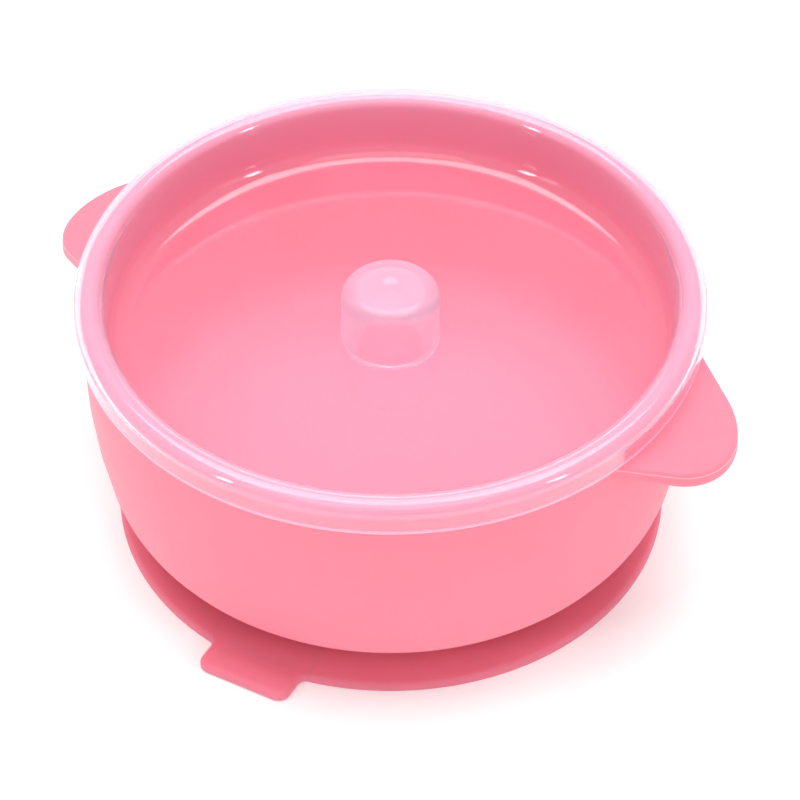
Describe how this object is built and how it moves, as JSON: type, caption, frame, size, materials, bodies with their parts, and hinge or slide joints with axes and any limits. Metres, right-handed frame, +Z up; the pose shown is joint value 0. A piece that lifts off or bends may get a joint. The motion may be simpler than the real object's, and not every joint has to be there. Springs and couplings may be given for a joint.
{
  "type": "suction bowl",
  "caption": "Round soft silicone bowl for a small child, with ear handles, a suction foot with a pull tab, and a clear sunk lid with a hollow knob.",
  "frame": {"origin": "centre of the foot's underside, on the bowl's axis, at table height", "axes": "+Z up along the bowl's axis, +X and -X towards the two ear handles, -Y towards the pull tab"},
  "size_m": [0.1528, 0.128, 0.0589],
  "materials": {
    "silicone": "soft satin, pink silicone",
    "lid_plastic": "glossy, milky clear polypropylene"
  },
  "bodies": {
    "foot": {"suction_cup": "silicone"},
    "bowl": {"bowl": "silicone"},
    "tab": {"pull_tab": "silicone"},
    "lid": {"lid": "lid_plastic"}
  },
  "joints": [
    {"name": "foot_press", "type": "slide", "parent": "foot", "child": "bowl", "axis": [0, 0, -1], "range_m": [0, 0.003], "stiffness_N_per_m": 3000, "springref_m": -0.001, "deforming": ["suction_cup"]},
    {"name": "lid_lift", "type": "slide", "parent": "bowl", "child": "lid", "axis": [0, 0, 1], "range_m": [0, 0.08]},
    {"name": "tab_pull", "type": "hinge", "parent": "foot", "child": "tab", "pos_m": [0, -0.057, 0.0011], "axis": [-1, 0, 0], "range_deg": [0, 60], "stiffness_Nm_per_rad": 0.02}
  ]
}
